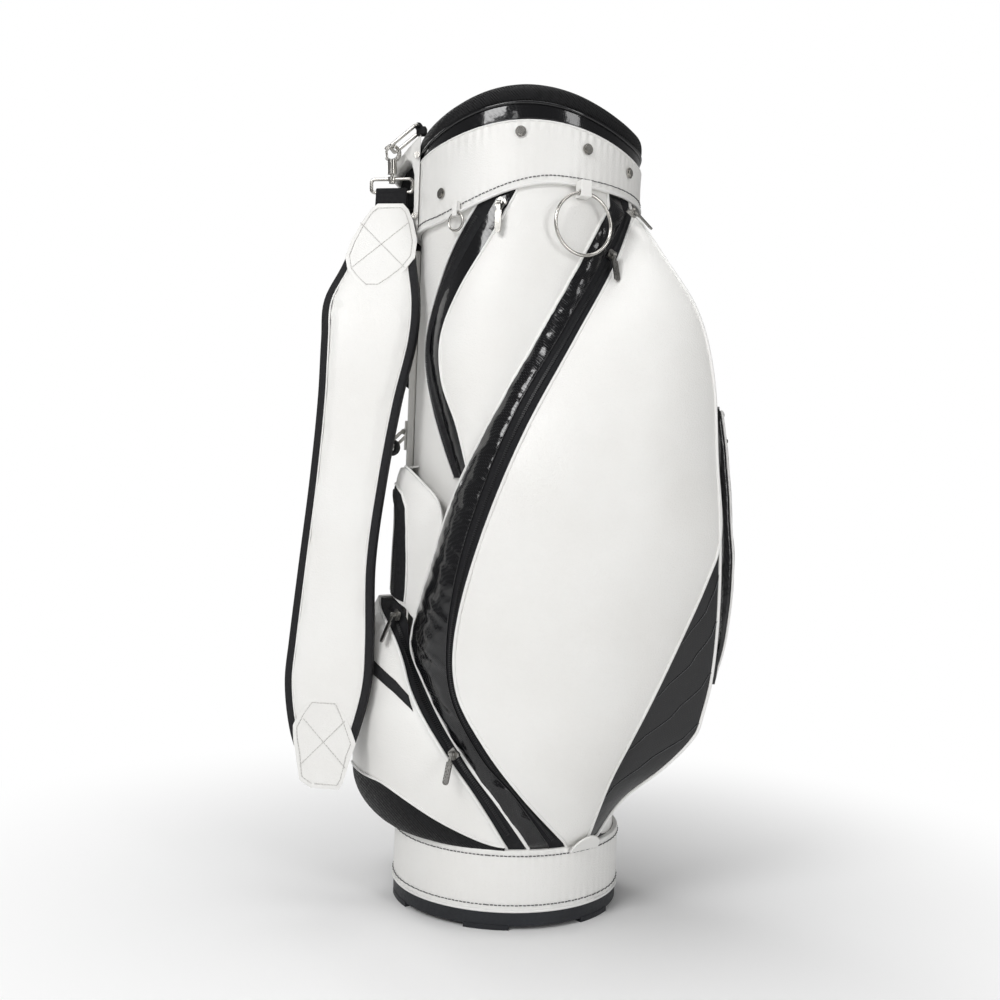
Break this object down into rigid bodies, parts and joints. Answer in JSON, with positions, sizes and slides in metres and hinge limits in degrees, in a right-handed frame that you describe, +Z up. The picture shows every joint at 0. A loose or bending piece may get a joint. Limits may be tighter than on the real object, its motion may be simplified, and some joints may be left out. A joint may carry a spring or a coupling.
{
  "type": "golf staff bag",
  "caption": "Staff golf bag with a raised padded rim, divided mouth, zipped pockets that bulge from the trunk, a towel ring and a padded shoulder strap on metal fittings.",
  "frame": {"origin": "centre of the round base, on the ground", "axes": "+Z up along the bag, +X out through the ball pocket, -X out through the spine and handle, -Y out through the side that carries the strap and towel ring"},
  "size_m": [0.455, 0.343, 0.8442],
  "materials": {
    "boot_rubber": "matte",
    "plate_plastic": "matte",
    "divider_fabric": "brushed pile",
    "tube_plastic": "matte",
    "white_leather": "fine grain",
    "white_pocket": "padded leathercloth, fine grain",
    "black_pocket": "padded patent leathercloth",
    "black_patent": "patent",
    "black_fabric": "ribbed",
    "black_webbing": "woven",
    "pad_leather": "padded leathercloth, fine grain",
    "chrome": "polished",
    "zip_metal": "polished"
  },
  "bodies": {
    "bag": {"base_boot": "boot_rubber", "base_plate": "plate_plastic", "base_band": "white_leather", "body_tube": "tube_plastic", "trunk_skin": "white_leather", "divider_frame": "plate_plastic", "divider_panels": "divider_fabric", "cuff_band": "white_leather", "collar_band": "black_patent", "collar_pad": "black_fabric", "hood_studs": "chrome", "spine_bracket": "white_leather", "bracket_rivets": "chrome", "spine_panel": "white_leather", "carry_handle": "black_webbing", "side_pocket_right": "white_pocket", "side_pocket_left": "white_pocket", "upper_pocket_right": "white_pocket", "upper_pocket_left": "white_pocket", "arch_pocket_right": "white_pocket", "arch_pocket_left": "white_pocket", "lower_pocket_right": "white_pocket", "lower_pocket_left": "white_pocket", "front_pocket": "black_pocket", "ball_pocket": "black_pocket", "base_tab": "white_leather", "ring_tabs": "white_leather", "link_anchor": "black_fabric", "d_ring_tab": "white_leather"},
    "side_zip_slider_right": {"side_slider_right": "zip_metal"},
    "side_zip_pull_right": {"side_pull_right": "zip_metal"},
    "side_zip_slider_left": {"side_slider_left": "zip_metal"},
    "side_zip_pull_left": {"side_pull_left": "zip_metal"},
    "upper_zip_slider_right": {"upper_slider_right": "zip_metal"},
    "upper_zip_pull_right": {"upper_pull_right": "zip_metal"},
    "upper_zip_slider_left": {"upper_slider_left": "zip_metal"},
    "upper_zip_pull_left": {"upper_pull_left": "zip_metal"},
    "front_zip_slider": {"front_slider": "zip_metal"},
    "front_zip_pull": {"front_pull": "zip_metal"},
    "arch_zip_slider": {"arch_slider": "zip_metal"},
    "arch_zip_pull": {"arch_pull": "zip_metal"},
    "lower_zip_slider_right": {"lower_slider_right": "zip_metal"},
    "lower_zip_pull_right": {"lower_pull_right": "zip_metal"},
    "lower_zip_slider_left": {"lower_slider_left": "zip_metal"},
    "lower_zip_pull_left": {"lower_pull_left": "zip_metal"},
    "ball_zip_slider": {"ball_slider": "zip_metal"},
    "ball_zip_pull": {"ball_pull": "zip_metal"},
    "towel_ring": {"towel_ring": "chrome"},
    "small_ring": {"small_ring": "chrome"},
    "strap_link": {"strap_link": "chrome"},
    "d_ring": {"d_ring": "chrome"},
    "snap_hook": {"snap_hook": "chrome"},
    "hook_gate": {"hook_gate": "chrome"},
    "strap": {"swivel_loop": "chrome", "webbing_top": "black_webbing", "strap_pad": "pad_leather", "strap_patches": "white_leather", "webbing_bottom": "black_webbing", "strap_adjuster": "chrome"}
  },
  "joints": [
    {"name": "side_zip_travel_right", "type": "slide", "parent": "bag", "child": "side_zip_slider_right", "axis": [-0.3202, -0.5337, -0.7827], "range_m": [0, 0.0562]},
    {"name": "side_pull_swing_right", "type": "hinge", "parent": "side_zip_slider_right", "child": "side_zip_pull_right", "pos_m": [0.10072, -0.08489, 0.68126], "axis": [-0.788, -0.6157, 0], "range_deg": [0, 100]},
    {"name": "side_zip_travel_left", "type": "slide", "parent": "bag", "child": "side_zip_slider_left", "axis": [-0.3202, 0.5337, -0.7827], "range_m": [0, 0.0562]},
    {"name": "side_pull_swing_left", "type": "hinge", "parent": "side_zip_slider_left", "child": "side_zip_pull_left", "pos_m": [0.10072, 0.08489, 0.68126], "axis": [0.788, -0.6157, 0], "range_deg": [0, 100]},
    {"name": "upper_zip_travel_right", "type": "slide", "parent": "bag", "child": "upper_zip_slider_right", "axis": [-0.5273, 0.1012, -0.8436], "range_m": [0, 0.0474]},
    {"name": "upper_pull_swing_right", "type": "hinge", "parent": "upper_zip_slider_right", "child": "upper_zip_pull_right", "pos_m": [-0.01211, -0.12726, 0.72216], "axis": [-0.9703, 0.2419, 0], "range_deg": [0, 100]},
    {"name": "upper_zip_travel_left", "type": "slide", "parent": "bag", "child": "upper_zip_slider_left", "axis": [-0.5273, -0.1012, -0.8436], "range_m": [0, 0.0474]},
    {"name": "upper_pull_swing_left", "type": "hinge", "parent": "upper_zip_slider_left", "child": "upper_zip_pull_left", "pos_m": [-0.01211, 0.12726, 0.72216], "axis": [0.9703, 0.2419, 0], "range_deg": [0, 100]},
    {"name": "front_zip_travel", "type": "slide", "parent": "bag", "child": "front_zip_slider", "axis": [0.666, -0.2049, -0.7172], "range_m": [0, 0.039]},
    {"name": "front_pull_swing", "type": "hinge", "parent": "front_zip_slider", "child": "front_zip_pull", "pos_m": [0.11894, -0.06156, 0.73118], "axis": [-0.4695, -0.8829, 0], "range_deg": [0, 100]},
    {"name": "arch_zip_travel", "type": "slide", "parent": "bag", "child": "arch_zip_slider", "axis": [-0.5582, 0.6778, 0.4785], "range_m": [0, 0.0251]},
    {"name": "arch_pull_swing", "type": "hinge", "parent": "arch_zip_slider", "child": "arch_zip_pull", "pos_m": [-0.11052, -0.10396, 0.30608], "axis": [-0.6428, 0.766, 0], "range_deg": [0, 100]},
    {"name": "lower_zip_travel_right", "type": "slide", "parent": "bag", "child": "lower_zip_slider_right", "axis": [-0.6351, 0.2443, 0.7328], "range_m": [0, 0.0409]},
    {"name": "lower_pull_swing_right", "type": "hinge", "parent": "lower_zip_slider_right", "child": "lower_zip_pull_right", "pos_m": [-0.03557, -0.14832, 0.17808], "axis": [-0.9397, 0.342, 0], "range_deg": [0, 100]},
    {"name": "lower_zip_travel_left", "type": "slide", "parent": "bag", "child": "lower_zip_slider_left", "axis": [-0.6351, -0.2443, 0.7328], "range_m": [0, 0.0409]},
    {"name": "lower_pull_swing_left", "type": "hinge", "parent": "lower_zip_slider_left", "child": "lower_zip_pull_left", "pos_m": [-0.03557, 0.14832, 0.17808], "axis": [0.9397, 0.342, 0], "range_deg": [0, 100]},
    {"name": "ball_zip_travel", "type": "slide", "parent": "bag", "child": "ball_zip_slider", "axis": [0.025, 0, -0.9997], "range_m": [0, 0.12]},
    {"name": "ball_pull_swing", "type": "hinge", "parent": "ball_zip_slider", "child": "ball_zip_pull", "pos_m": [0.223, 0.0726, 0.5], "axis": [1, 0, 0], "range_deg": [0, 100]},
    {"name": "towel_ring_swing", "type": "hinge", "parent": "bag", "child": "towel_ring", "pos_m": [0.07107, -0.10945, 0.736], "axis": [-0.8387, -0.5446, 0], "range_deg": [0, 75]},
    {"name": "small_ring_swing", "type": "hinge", "parent": "bag", "child": "small_ring", "pos_m": [-0.0585, -0.11002, 0.716], "axis": [-0.8829, 0.4695, 0], "range_deg": [0, 60]},
    {"name": "strap_link_swing", "type": "hinge", "parent": "bag", "child": "strap_link", "pos_m": [-0.117, -0.04, 0.826], "axis": [0, 1, 0], "range_deg": [-6, 0]},
    {"name": "d_ring_swing", "type": "hinge", "parent": "bag", "child": "d_ring", "pos_m": [-0.125, -0.018, 0.498], "axis": [0, 1, 0], "range_deg": [-3, 3]},
    {"name": "snap_hook_twist", "type": "hinge", "parent": "bag", "child": "snap_hook", "pos_m": [-0.14597, -0.04, 0.80203], "axis": [0.0124, 0.0684, -0.9976], "range_deg": [-15, 15]},
    {"name": "hook_gate_swing", "type": "hinge", "parent": "snap_hook", "child": "hook_gate", "pos_m": [-0.15134, -0.03934, 0.79241], "axis": [-0.0009, 0.9977, 0.0684], "range_deg": [0, 15], "stiffness_Nm_per_rad": 0.01},
    {"name": "strap_swing", "type": "hinge", "parent": "bag", "child": "strap", "pos_m": [-0.14597, -0.04, 0.80203], "axis": [0.0124, 0.0684, -0.9976], "range_deg": [0, 18]}
  ]
}
